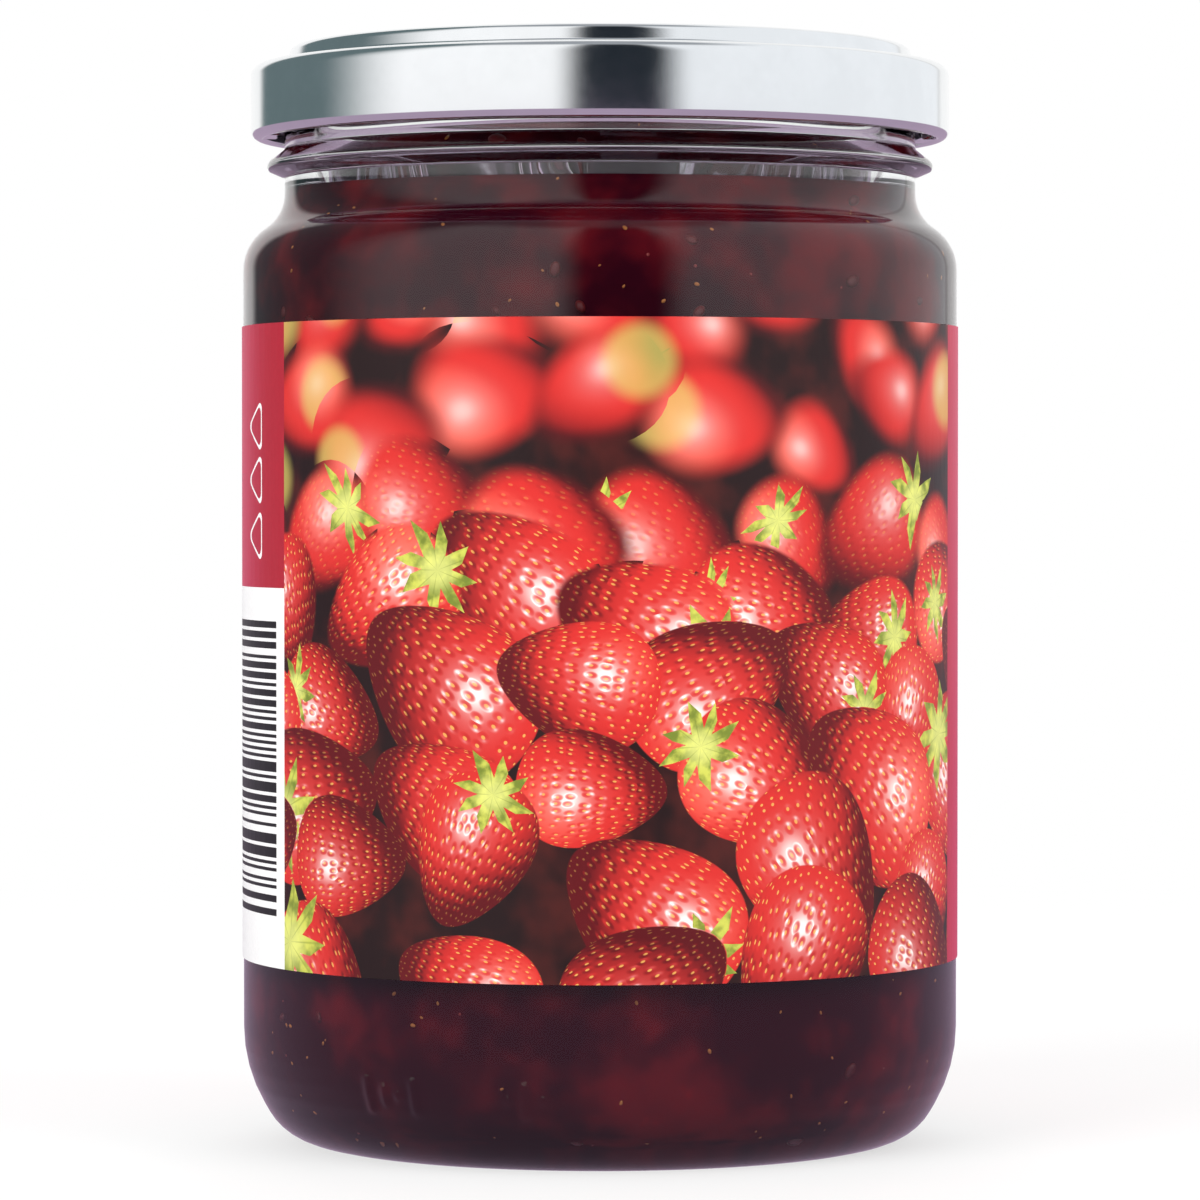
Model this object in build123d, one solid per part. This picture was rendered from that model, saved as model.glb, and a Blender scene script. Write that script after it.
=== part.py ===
"""Glass jam jar with a pressed metal twist-off lid, its filling and its paper label.

Millimetres. +Z is up, the origin is the centre of the base, and -Y is the label's front.
"""
from build123d import *
from math import atan, cos, degrees, radians, sin, sqrt, tan
import os

# Glass: outside
body_r = 35.3          # outer radius of the straight body
base_flat_r = 25.6     # where the ring that the jar stands on starts, outside the push-up
push_up = 2.6          # rise of the hollow under the base
foot_r = 6.0           # small arc from the standing ring into the leaning heel
heel_r = 15.0          # large arc from the heel into the body
heel_lean = 30.0       # degrees that the heel leans out from upright
heel_z = 7.3           # where the leaning heel would meet the body
neck_r = 31.2          # outer radius of the neck
shoulder_z = 91.4      # where the sloping shoulder would meet the neck
shoulder_lean = 54.0   # degrees that the shoulder leans in from upright
shoulder_r = 4.9       # arc from the body into the shoulder
throat_r = 4.2         # arc from the shoulder into the neck
neck_h = 14.9          # from where the shoulder would meet the neck up to the rim
rim_round = 1.1        # rounding of the rim, inside and outside

# Glass: inside
wall = 2.4             # glass thickness of body, shoulder and neck
floor_z = 4.3          # lowest point of the inside
floor_round = 5.0      # arc from the floor into the heel, inside
inner_heel_r = 12.6    # arc from the heel into the wall, inside

# Ring under the lid, and the threads that the lid's lugs hook under
bead_out = 1.75        # how far the ring stands out from the neck
bead_up = 4.7          # from where the shoulder would meet the neck up to the ring's middle
bead_low = 1.05        # from the middle down to the foot of its lower flank
bead_high = 1.7        # from the middle up to the foot of its upper flank
starts = 4             # threads, and lugs
thread_r = 1.4         # radius of a thread's rounded ridge
thread_turn = 75.0     # degrees that each thread runs
thread_rise = 2.3      # height that each thread climbs

# Raised mould marks on the heel: short upright bars and dots
mark_r = 0.7           # radius of a mark's round section
mark_end = 0.65        # rounding of a mark's ends
mark_out = 0.25        # how far a mark stands out of the glass
mark_z = 7.2           # middle height of the marks
mark_groups = (        # degrees from the front, then each mark's (step in degrees, length)
    (-34.5, ((-4.4, 2.8), (-1.2, 1.4), (1.4, 0.0), (4.4, 2.8))),
    (-11.5, ((-2.8, 0.0), (0.0, 2.8), (2.8, 0.0))),
)

# Filling
headspace = 12.8       # from the filling's level up to the rim
jam_gap = 0.05         # between the filling and the glass

# Lid
lid_h = 9.13           # height of the lid
sheet = 0.25           # metal thickness
seal = 1.35            # depth of the sealing ring between rim and lid
seal_gap = 0.03        # between the rim and the sealing ring
curl = 1.35            # width of the rolled edge
curl_h = 1.5           # height of the rolled edge
curl_round = 0.85      # rounding of the rolled edge, outside
curl_in_round = 0.4    # rounding of the rolled edge, inside
curl_gap = 0.55        # between the threads and the rolled edge
lid_shoulder_r = 1.15  # rounding of the skirt into the top
ledge_drop = 1.6       # from the lid's highest ring down to the ledge outside it
ledge_rise = 0.3       # climb of the ledge from the shoulder to the ring
ring_in = 0.65         # from the neck's radius in to the ring's outer side
ring_w = 2.7           # width of the ring's crown
panel_drop = 1.5       # from the ring's crown down to the panel
step_r = 18.5          # radius of the step round the middle of the panel
step_h = 0.45          # height of the step
button_r = 11.0        # radius of the safety button
button_drop = 0.5      # dip of the button, pulled down by the vacuum
lug_span = 12.0        # degrees that a lug takes
lug_bite = 0.7         # how far a lug reaches past the threads' crests
lug_h = 0.9            # height of a lug
lug_sink = 0.4         # from the top of the rolled edge down to a lug's top
lug_gap = 0.1          # between a lug and the thread above it

# Label
label_foot = 6.9       # from the end of the heel up to the lower edge
label_head = 5.6       # from the upper edge up to the start of the shoulder
paper = 0.1            # label thickness
glue = 0.04            # between the glass and the label
overlap = 8.0          # length of the label's glued end, at the back

front = -90.0          # degrees about Z where the label's front is

# Heights that follow from the sizes above
heel_end = heel_z + heel_r * tan(radians(heel_lean / 2))
shoulder_low = shoulder_z - (body_r - neck_r) / tan(radians(shoulder_lean))
shoulder_start = shoulder_low - shoulder_r * tan(radians(shoulder_lean / 2))
bead_z = shoulder_z + bead_up
rim_z = shoulder_z + neck_h
crown_z = rim_z + seal_gap + seal + sheet
lid_z = crown_z - lid_h
jam_z = rim_z - headspace
lug_top = lid_z + curl_h - lug_sink
label_low = heel_end + label_foot
label_high = shoulder_start - label_head
thread_z = lug_top + lug_gap + thread_r
os.makedirs("parts", exist_ok=True)


def turned(corners, angle=360.0):
    """Solid of revolution about Z from (radius, height, corner rounding) rows."""
    points = [(r, z) for r, z, _ in corners]
    path = FilletPolyline(points, radius=[rounding for _, _, rounding in corners], close=True)
    return revolve(Plane.XZ * make_face(path), Axis.Z, angle)


def shoulder_rows(inset):
    """The shoulder's two corners, upwards, moved inwards by a wall of this thickness."""
    slope = radians(shoulder_lean)
    drop = inset * tan(slope / 2)
    top = shoulder_z - drop
    low = top - (body_r - neck_r) / tan(slope)
    return [
        (body_r - inset, low, shoulder_r - inset),
        (neck_r - inset, top, throat_r + inset),
    ]


def inner_rows():
    """The inside of the glass from the floor's middle up to the neck, without the rim."""
    heel_in = floor_z + heel_z * 0.85
    foot_in = body_r - wall - (heel_in - floor_z) * tan(radians(heel_lean))
    return [
        (0, floor_z + push_up * 0.7, 0),
        (base_flat_r * 0.8, floor_z, 20.0),
        (foot_in, floor_z, floor_round),
        (body_r - wall, heel_in, inner_heel_r),
        *shoulder_rows(wall),
    ]


def heel_reach(z):
    """Outer radius of the glass at a height on the heel's large arc."""
    return body_r - heel_r + sqrt(heel_r**2 - (heel_end - z) ** 2)


def thread():
    """One thread ridge, from its low end at the front side of a lug."""
    path = Helix(thread_rise * 360 / thread_turn, thread_rise, neck_r, center=(0, 0, thread_z))
    section = Plane(path @ 0, z_dir=path % 0) * Circle(thread_r)
    return sweep(section, path, is_frenet=True)


def mould_mark(turn, length):
    """A raised bar, or a dot where its length is 0, lying along the heel."""
    low = heel_reach(mark_z - length / 2 - mark_r)
    high = heel_reach(mark_z + length / 2 + mark_r)
    lean = degrees(atan((high - low) / (length + 2 * mark_r)))
    half = length / 2 + mark_r
    shape = turned([(0, -half, 0), (mark_r, -half, mark_end), (mark_r, half, mark_end), (0, half, 0)])
    reach = heel_reach(mark_z) - (mark_r - mark_out) * cos(radians(lean))
    return Rot(0, 0, front + turn) * Pos(reach, 0, mark_z) * Rot(0, lean, 0) * shape


def glass_jar():
    """Jar with its neck ring, threads, push-up and mould marks."""
    foot = body_r - heel_z * tan(radians(heel_lean))
    outer = [
        (base_flat_r, 0, 0.6),
        (foot, 0, foot_r),
        (body_r, heel_z, heel_r),
        *shoulder_rows(0),
        (neck_r, bead_z - bead_low, 0.3),
        (neck_r + bead_out - 0.1, bead_z - 0.35, 0.4),
        (neck_r + bead_out, bead_z + 0.35, 0.7),
        (neck_r, bead_z + bead_high, 0.4),
        (neck_r, rim_z, rim_round),
        (neck_r - wall, rim_z, rim_round),
    ]
    glass = turned([(0, push_up, 0), *outer, *reversed(inner_rows())])
    for start in range(starts):
        glass += Rot(0, 0, start * 360 / starts) * thread()
    for middle, marks in mark_groups:
        for step, length in marks:
            glass += mould_mark(middle + step, length)
    return glass


def jam():
    """Filling against the inside of the glass, up to its level."""
    slope = radians(shoulder_lean)
    rows = []
    for r, z, rounding in inner_rows():
        lifted = z + jam_gap if z < shoulder_z / 2 else z - jam_gap * tan(slope / 2)
        rows.append((max(r - jam_gap, 0), lifted, rounding))
    whole = turned([*rows, (neck_r - wall - jam_gap, rim_z, 0), (0, rim_z, 0)])
    reach = Box(3 * body_r, 3 * body_r, jam_z, align=(Align.CENTER, Align.CENTER, Align.MIN))
    return whole & reach


def lid_rows(skirt_r, inset):
    """The lid's outside from its middle out to its lower edge, moved in by a sheet's thickness."""
    ledge = crown_z - ledge_drop
    panel = crown_z - panel_drop
    ring_out = neck_r - ring_in
    ring_low = ring_out - ring_w
    return [
        (0, panel + step_h - button_drop - inset, 0),
        (button_r - 3.0, panel + step_h - button_drop - inset, 6.0),
        (button_r, panel + step_h - inset, 1.5),
        (step_r - inset, panel + step_h - inset, 1.0),
        (step_r + 1.0 - inset, panel - inset, 1.0),
        (ring_low - 1.4 + inset, panel - inset, 1.0),
        (ring_low + inset, crown_z - inset, 1.0 - inset),
        (ring_out - inset, crown_z - inset, 0.75 - inset),
        (ring_out + 0.35 - inset, ledge - inset, 0.3 + inset),
        (skirt_r - inset, ledge - ledge_rise - inset, lid_shoulder_r - inset),
        (skirt_r - inset, lid_z + curl_h / 2, 0),
    ]


def lid():
    """Pressed lid: panel with its button, ring over the seal, skirt, rolled edge and lugs."""
    crest = neck_r + thread_r
    roll_in = crest + curl_gap
    skirt_r = roll_in + curl
    outside = lid_rows(skirt_r, 0)
    inside = lid_rows(skirt_r, sheet)
    shell = turned([*outside, *reversed(inside)])
    roll = turned([
        (roll_in, lid_z, curl_in_round),
        (skirt_r, lid_z, curl_round),
        (skirt_r, lid_z + curl_h, 0),
        (roll_in, lid_z + curl_h, curl_in_round),
    ])
    seal_top = crown_z - sheet / 2
    ring_out = neck_r - ring_in - sheet
    ring = turned([
        (ring_out - ring_w + sheet, rim_z + seal_gap, 0.2),
        (ring_out - 0.05, rim_z + seal_gap, 0.2),
        (ring_out - 0.05, seal_top, 0.5),
        (ring_out - ring_w + sheet, seal_top, 0.5),
    ])
    lug = turned([
        (crest - lug_bite, lug_top - lug_h, 0.3),
        (roll_in + curl / 2, lug_top - lug_h, 0),
        (roll_in + curl / 2, lug_top, 0),
        (crest - lug_bite, lug_top, 0.3),
    ], lug_span)
    cap = shell + roll + ring
    for start in range(starts):
        cap += Rot(0, 0, start * 360 / starts + lug_gap) * lug
    return cap


def label():
    """Paper wrapped round the body, with its glued end lying over its start at the back."""
    inner = body_r + glue
    wrap = turned([
        (inner, label_low, 0),
        (inner + paper, label_low, 0),
        (inner + paper, label_high, 0),
        (inner, label_high, 0),
    ])
    turn = degrees(overlap / (inner + paper))
    flap = turned([
        (inner + paper / 2, label_low, 0),
        (inner + 2 * paper, label_low, 0),
        (inner + 2 * paper, label_high, 0),
        (inner + paper / 2, label_high, 0),
    ], turn)
    return wrap + Rot(0, 0, front + 180) * flap


for name, make in (("glass_jar", glass_jar), ("jam", jam), ("lid", lid), ("label", label)):
    solid = make()
    export_step(solid, f"parts/{name}.step")
    size = solid.bounding_box().size
    print(f"{name}: {solid.volume / 1000:.1f} ml, {size.X:.2f} x {size.Y:.2f} x {size.Z:.2f} mm")
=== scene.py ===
"""Looks of a glass jar of strawberry jam: its glass, filling, twist-off lid and printed label.

Metres, +Z up, origin at the centre of the base, -Y towards the front of the label.
"""
import logging
import random
from collections.abc import Callable
from dataclasses import dataclass
from enum import Enum
from math import cos, hypot, pi, radians, sin, tan

import bmesh
import bpy
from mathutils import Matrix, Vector
from mathutils.geometry import delaunay_2d_cdt


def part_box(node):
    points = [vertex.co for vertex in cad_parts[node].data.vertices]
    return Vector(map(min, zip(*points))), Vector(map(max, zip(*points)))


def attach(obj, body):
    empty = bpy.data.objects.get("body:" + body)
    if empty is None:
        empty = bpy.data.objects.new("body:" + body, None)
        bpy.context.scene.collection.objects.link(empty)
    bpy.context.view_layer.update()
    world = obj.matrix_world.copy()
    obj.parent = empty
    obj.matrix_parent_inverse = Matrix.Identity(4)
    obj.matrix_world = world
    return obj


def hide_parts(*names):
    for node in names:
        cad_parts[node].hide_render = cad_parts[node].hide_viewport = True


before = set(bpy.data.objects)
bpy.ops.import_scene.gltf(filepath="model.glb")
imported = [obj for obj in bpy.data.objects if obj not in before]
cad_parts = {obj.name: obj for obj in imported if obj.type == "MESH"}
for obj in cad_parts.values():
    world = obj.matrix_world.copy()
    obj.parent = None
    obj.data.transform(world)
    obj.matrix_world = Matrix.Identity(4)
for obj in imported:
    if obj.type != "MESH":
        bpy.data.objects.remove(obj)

LOG = logging.getLogger("jam_jar")
MM = 0.001
Socket = bpy.types.NodeSocket
Row = tuple[float, float, float]
Colour = tuple[float, float, float]
Point = tuple[float, float]


class Graph:
    """Adds nodes to a tree and links them; a value may be a socket, a number or a tuple."""

    def __init__(self, tree: bpy.types.NodeTree) -> None:
        """Keep the tree that nodes are added to."""
        self.tree = tree

    def node(self, kind: str, inputs: dict | None = None, **settings: object) -> bpy.types.Node:
        """Add one node.

        Args:
            kind: The node's type name.
            inputs: Values by input name or index.
            settings: Attributes of the node, such as its operation.

        Returns:
            The new node.
        """
        made = self.tree.nodes.new(kind)
        for name, value in settings.items():
            setattr(made, name, value)
        for name, value in (inputs or {}).items():
            self.put(made.inputs[name], value)
        return made

    def put(self, target: Socket, value: object) -> None:
        """Link a socket, or set a plain value, into an input.

        Args:
            target: The input.
            value: A socket, a number or a tuple.
        """
        if isinstance(value, bpy.types.NodeSocket):
            self.tree.links.new(value, target)
        elif target.type == "RGBA" and len(value) == 3:
            target.default_value = (*value, 1.0)
        else:
            target.default_value = value

    def math(self, operation: str, *values: object, clamp: bool = False) -> Socket:
        """One Math node's result."""
        made = self.node("ShaderNodeMath", dict(enumerate(values)), operation=operation, use_clamp=clamp)
        return made.outputs[0]

    def mul(self, first: object, second: object) -> Socket:
        """A product."""
        return self.math("MULTIPLY", first, second)

    def add(self, first: object, second: object) -> Socket:
        """A sum."""
        return self.math("ADD", first, second)

    def sub(self, first: object, second: object) -> Socket:
        """A difference."""
        return self.math("SUBTRACT", first, second)

    def div(self, first: object, second: object) -> Socket:
        """A quotient."""
        return self.math("DIVIDE", first, second)

    def mul_add(self, first: object, second: object, third: object) -> Socket:
        """A product with a number added."""
        return self.math("MULTIPLY_ADD", first, second, third)

    def vec(self, operation: str, *values: object) -> Socket:
        """One Vector Math node's result.

        Args:
            operation: The node's operation.
            values: Its inputs in order; for SCALE, the vector and the number.

        Returns:
            Its value for a length or a dot product, or its vector.
        """
        made = self.node("ShaderNodeVectorMath", operation=operation)
        slots = [made.inputs[0], made.inputs["Scale"]] if operation == "SCALE" else made.inputs
        for target, value in zip(slots, values):
            self.put(target, value)
        number = operation in ("LENGTH", "DOT_PRODUCT", "DISTANCE")
        return made.outputs["Value" if number else "Vector"]

    def ease(self, value: object, low: float | Socket, high: float | Socket, start: float = 0.0,
             end: float = 1.0) -> Socket:
        """A smooth step of value from low to high, giving start to end."""
        inputs = {"Value": value, "From Min": low, "From Max": high, "To Min": start, "To Max": end}
        made = self.node("ShaderNodeMapRange", inputs, interpolation_type="SMOOTHSTEP")
        return made.outputs["Result"]

    def mix(self, amount: object, first: object, second: object) -> Socket:
        """A colour between two colours."""
        made = self.node("ShaderNodeMix", data_type="RGBA")
        for index, value in ((0, amount), (6, first), (7, second)):
            self.put(made.inputs[index], value)
        return made.outputs[2]

    def split(self, vector: Socket) -> tuple[Socket, Socket, Socket]:
        """A vector's three numbers."""
        made = self.node("ShaderNodeSeparateXYZ", {0: vector})
        return made.outputs[0], made.outputs[1], made.outputs[2]

    def join(self, x: object, y: object, z: object) -> Socket:
        """A vector of three numbers."""
        return self.node("ShaderNodeCombineXYZ", {0: x, 1: y, 2: z}).outputs[0]

    def noise(self, vector: Socket, scale: float, detail: float = 2.0, rough: float = 0.5) -> Socket:
        """A noise value from 0 to 1."""
        inputs = {"Vector": vector, "Scale": scale, "Detail": detail, "Roughness": rough}
        return self.node("ShaderNodeTexNoise", inputs).outputs[0]


Relief = Callable[[Graph, Socket, Socket, Socket], Socket] | None


def new_material(name: str) -> tuple[bpy.types.Material, Graph, bpy.types.Node]:
    """A material with one Principled shader.

    Args:
        name: The material's name.

    Returns:
        The material, its graph and its Principled node.
    """
    made = bpy.data.materials.new(name)
    made.use_nodes = True
    return made, Graph(made.node_tree), made.node_tree.nodes["Principled BSDF"]


def bump(graph: Graph, shader: bpy.types.Node, height: Socket, depth: float, strength: float) -> None:
    """Give a shader relief of this depth in metres from a height of 0 to 1."""
    made = graph.node("ShaderNodeBump", {"Height": height, "Distance": depth, "Strength": strength})
    graph.put(shader.inputs["Normal"], made.outputs[0])


@dataclass(frozen=True)
class GlassFinish:
    """Clear flint glass with the faint waviness of a moulded jar."""

    tint: Colour = (0.985, 1.0, 0.993)
    index: float = 1.5
    wave: float = 0.00009

    def make(self) -> bpy.types.Material:
        """Build the material."""
        made, graph, shader = new_material("clear_glass")
        graph.put(shader.inputs["Base Color"], self.tint)
        shader.inputs["Roughness"].default_value = 0.0
        shader.inputs["IOR"].default_value = self.index
        shader.inputs["Transmission Weight"].default_value = 1.0
        where = graph.node("ShaderNodeTexCoord").outputs["Object"]
        bump(graph, shader, graph.noise(where, 75.0, 1.0), self.wave, 0.35)
        path = graph.node("ShaderNodeLightPath").outputs["Is Shadow Ray"]
        clear = graph.node("ShaderNodeBsdfTransparent").outputs[0]
        both = graph.node("ShaderNodeMixShader", {0: path, 1: shader.outputs[0], 2: clear})
        graph.put(made.node_tree.nodes["Material Output"].inputs["Surface"], both.outputs[0])
        return made


@dataclass(frozen=True)
class JamFinish:
    """Dark red set jam, with lumps of fruit that show lighter against the glass."""

    deep: Colour = (0.028, 0.0012, 0.0060)
    flesh: Colour = (0.14, 0.006, 0.010)
    bright: Colour = (0.26, 0.010, 0.014)

    def make(self) -> bpy.types.Material:
        """Build the material."""
        made, graph, shader = new_material("strawberry_jam")
        where = graph.node("ShaderNodeTexCoord").outputs["Object"]
        lumps = graph.noise(where, 95.0, 3.0, 0.55)
        fine = graph.noise(where, 420.0, 2.0, 0.6)
        base = graph.mix(graph.ease(lumps, 0.42, 0.72), self.deep, self.flesh)
        spots = graph.mul(graph.ease(lumps, 0.6, 0.74), graph.ease(fine, 0.56, 0.7))
        graph.put(shader.inputs["Base Color"], graph.mix(spots, base, self.bright))
        shader.inputs["Roughness"].default_value = 0.35
        shader.inputs["Specular IOR Level"].default_value = 0.0
        bump(graph, shader, graph.noise(where, 200.0, 1.0), 0.0002, 0.2)
        return made


@dataclass(frozen=True)
class SpeckFinish:
    """One plain ingredient in the jam, such as a seed, with a little variation."""

    name: str
    colour: tuple[float, float, float]
    dark: tuple[float, float, float]
    rough: float = 0.4

    def make(self) -> bpy.types.Material:
        """Build the material."""
        made, graph, shader = new_material(self.name)
        where = graph.node("ShaderNodeTexCoord").outputs["Object"]
        graph.put(shader.inputs["Base Color"], graph.mix(graph.noise(where, 700.0), self.dark, self.colour))
        shader.inputs["Roughness"].default_value = self.rough
        return made


SEED = SpeckFinish("seed", (0.50, 0.20, 0.05), (0.20, 0.05, 0.01))
FRUIT_BIT = SpeckFinish("fruit_bit", (0.12, 0.005, 0.007), (0.04, 0.002, 0.004))
BUBBLE = SpeckFinish("bubble", (0.30, 0.05, 0.05), (0.10, 0.01, 0.01), 0.2)


@dataclass(frozen=True)
class TinplateFinish:
    """Lacquered tinplate: rolled grain, faint scuffs and a clear coat."""

    colour: Colour = (0.87, 0.89, 0.90)
    rough: float = 0.09

    def make(self) -> bpy.types.Material:
        """Build the material."""
        made, graph, shader = new_material("lacquered_tinplate")
        where = graph.node("ShaderNodeTexCoord").outputs["Object"]
        grain = graph.noise(graph.vec("MULTIPLY", where, (1.0, 14.0, 1.0)), 900.0, 2.0)
        scuff = graph.noise(where, 160.0, 5.0, 0.7)
        dull = graph.vec("SCALE", self.colour, 0.95)
        graph.put(shader.inputs["Base Color"], graph.mix(graph.ease(scuff, 0.35, 0.7), dull, self.colour))
        graph.put(shader.inputs["Roughness"], graph.ease(scuff, 0.3, 0.75, self.rough, self.rough + 0.05))
        shader.inputs["Metallic"].default_value = 1.0
        shader.inputs["Coat Weight"].default_value = 0.25
        shader.inputs["Coat Roughness"].default_value = 0.12
        bump(graph, shader, grain, 0.000004, 0.2)
        return made


@dataclass(frozen=True)
class CompoundFinish:
    """Pale soft sealing compound inside the lid."""

    colour: Colour = (0.78, 0.77, 0.73)

    def make(self) -> bpy.types.Material:
        """Build the material."""
        made, graph, shader = new_material("sealing_compound")
        where = graph.node("ShaderNodeTexCoord").outputs["Object"]
        dull = graph.vec("SCALE", self.colour, 0.9)
        graph.put(shader.inputs["Base Color"], graph.mix(graph.noise(where, 300.0), dull, self.colour))
        shader.inputs["Roughness"].default_value = 0.55
        return made


class Ink(Enum):
    """The flat inks of the label, in the order of its material slots."""

    PICTURE = 0
    CRIMSON = 1
    WHITE = 2
    BLACK = 3


@dataclass(frozen=True)
class PaperFinish:
    """Coated label paper printed with one flat ink."""

    name: str
    colour: tuple[float, float, float]
    # edge: painted side light, the colour the ink turns to towards the sides: painted sheen on the crimson,
    # painted shade on the bare paper; the black stays the same.
    edge: tuple[float, float, float]

    def make(self) -> bpy.types.Material:
        """Build the material: towards the sides the ink turns to its second colour, painted side light: a
        pink sheen on the crimson and a little shade on the bare paper.
        """
        made, graph, shader = new_material(self.name)
        where = graph.node("ShaderNodeTexCoord").outputs["Object"]
        _, y, _ = graph.split(where)
        # Painted side light: from the front towards the sides the ink is mixed to its edge colour.
        painted_side_light = graph.ease(y, -0.017, 0.001)
        fibre = graph.noise(where, 2600.0, 3.0)
        ink = graph.mix(painted_side_light, self.colour, self.edge)
        shade = graph.ease(fibre, 0.2, 0.9, 0.0, 0.08)
        graph.put(shader.inputs["Base Color"], graph.mix(shade, ink, (0, 0, 0)))
        shader.inputs["Roughness"].default_value = 0.42
        shader.inputs["Specular IOR Level"].default_value = 0.3
        bump(graph, shader, fibre, 0.000012, 0.4)
        return made


@dataclass(frozen=True)
class PictureFinish:
    """Printed pile of strawberries: each fruit is shaded from its own place in the outline it has."""

    gap: Colour = (0.016, 0.006, 0.006)
    deep: Colour = (0.10, 0.003, 0.006)
    red: Colour = (0.62, 0.022, 0.018)
    light: Colour = (0.88, 0.12, 0.08)
    seed: Colour = (0.80, 0.42, 0.10)
    leaf: Colour = (0.58, 0.60, 0.09)
    leaf_dark: Colour = (0.17, 0.22, 0.025)
    lamp: tuple[float, float, float] = (-0.36, 0.55, 0.75)
    glint: tuple[float, float, float] = (-0.19, 0.30, 0.935)

    def fruit(self, graph: Graph, which: str, under: object) -> Socket:
        """Colour of one fruit over what is under it.

        Args:
            graph: The material's graph.
            which: Name of the attributes that hold the fruit's place and traits.
            under: Colour where the fruit is not.

        Returns:
            The colour.
        """
        place = graph.node("ShaderNodeAttribute", attribute_name=f"{which}_place").outputs["Vector"]
        traits = graph.node("ShaderNodeAttribute", attribute_name=f"{which}_traits").outputs["Vector"]
        x, y, seed = graph.split(place)
        soft, bright, here = graph.split(traits)
        girth = graph.mul_add(y, 0.23, 0.75)
        side = graph.div(x, girth)
        reach = graph.add(graph.mul(side, side), graph.mul(y, y))
        toward = graph.math("SQRT", graph.math("MAXIMUM", graph.sub(1.0, reach), 0.0004))
        round_to = graph.math("ARCSINE", graph.mul(y, 0.999))
        across = graph.mul(graph.math("ARCTAN2", side, toward), graph.math("COSINE", round_to))
        skin = graph.join(graph.mul_add(across, 7.4, graph.mul(seed, 53.0)),
                          graph.mul_add(round_to, 5.0, graph.mul(seed, 31.0)), 0.0)
        cells = graph.node("ShaderNodeTexVoronoi", {"Vector": skin, "Scale": 1.0, "Randomness": 0.5},
                           voronoi_dimensions="2D")
        far = cells.outputs["Distance"]
        sharp = graph.ease(soft, 0.04, 0.4, 1.0, 0.0)
        dent = graph.mul(graph.ease(far, 0.52, 0.12), sharp)
        lean = graph.vec("SUBTRACT", cells.outputs["Position"], skin)
        facing = graph.join(side, y, toward)
        tilt = graph.vec("SCALE", lean, graph.mul(dent, 1.5))
        rough = graph.vec("NORMALIZE", graph.vec("ADD", facing, tilt))
        lit = graph.math("MAXIMUM", graph.vec("DOT_PRODUCT", rough, self.lamp), 0.0)
        body = graph.mul(graph.mul_add(lit, 0.85, 0.12), bright)
        tone = graph.mix(graph.ease(body, 0.06, 0.78), self.deep, self.red)
        tone = graph.mix(graph.ease(body, 0.80, 1.35), tone, self.light)
        shine = graph.math("MAXIMUM", graph.vec("DOT_PRODUCT", rough, self.glint), 0.0)
        broad = graph.mul(graph.math("POWER", shine, 14.0), 0.16)
        glint = graph.mul(graph.math("POWER", shine, 70.0),
                           graph.mul_add(sharp, 0.55, 0.3))
        tone = graph.mix(graph.math("ADD", broad, glint, clamp=True), tone, (1.0, 0.86, 0.82))
        pip = graph.mul(graph.ease(far, 0.17, 0.10), graph.mul(sharp, 0.8))
        tone = graph.mix(graph.mul(pip, graph.ease(lit, 0.0, 0.5, 0.25, 1.0)), tone, self.seed)
        inner = graph.sub(1.0, soft)
        cover = graph.ease(graph.math("SQRT", reach), inner, 1.0, 1.0, 0.0)
        return graph.mix(graph.mul(cover, here), under, tone)

    def crown(self, graph: Graph, under: Socket) -> Socket:
        """Colour of the topmost leaf crown over what is under it.

        Args:
            graph: The material's graph.
            under: Colour where the crown is not.

        Returns:
            The colour.
        """
        place = graph.node("ShaderNodeAttribute", attribute_name="crown_place").outputs["Vector"]
        traits = graph.node("ShaderNodeAttribute", attribute_name="crown_traits").outputs["Vector"]
        x, y, seed = graph.split(place)
        soft, bright, here = graph.split(traits)
        reach = graph.math("SQRT", graph.add(graph.mul(x, x),
                                              graph.mul(y, y)))
        turn = graph.math("ARCTAN2", y, x)
        vein = graph.math("ABSOLUTE", graph.math("SINE", graph.mul(turn, 4.5)))
        mottled = graph.noise(graph.join(x, y, seed), 4.0, 3.0)
        tone = graph.mix(graph.ease(mottled, 0.35, 0.68), self.leaf_dark, self.leaf)
        tone = graph.mix(graph.ease(reach, 0.5, 0.12, 0.0, 0.65), tone, (0.80, 0.82, 0.24))
        tone = graph.mix(graph.ease(vein, 0.25, 0.0, 0.0, 0.5), tone, self.leaf_dark)
        pale = graph.math("MULTIPLY", graph.ease(soft, 0.05, 0.5), bright, clamp=True)
        tone = graph.mix(pale, tone, (0.60, 0.50, 0.12))
        cover = graph.ease(reach, graph.sub(1.0, soft), 1.0, 1.0, 0.0)
        thin = graph.mul_add(pale, -0.42, 1.0)
        return graph.mix(graph.mul(graph.mul(cover, here), thin), under, tone)

    def make(self) -> bpy.types.Material:
        """Build the material: gap, lower fruit, upper fruit, leaf crown."""
        made, graph, shader = new_material("printed_strawberries")
        where = graph.node("ShaderNodeTexCoord").outputs["Object"]
        haze = graph.noise(where, 190.0, 2.0)
        tone = graph.mix(graph.ease(haze, 0.4, 0.75), self.gap, (0.07, 0.01, 0.008))
        for which in ("lower", "upper"):
            tone = self.fruit(graph, which, tone)
        graph.put(shader.inputs["Base Color"], self.crown(graph, tone))
        shader.inputs["Roughness"].default_value = 0.42
        shader.inputs["Specular IOR Level"].default_value = 0.3
        bump(graph, shader, graph.noise(where, 2600.0, 3.0), 0.000012, 0.4)
        return made


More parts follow.
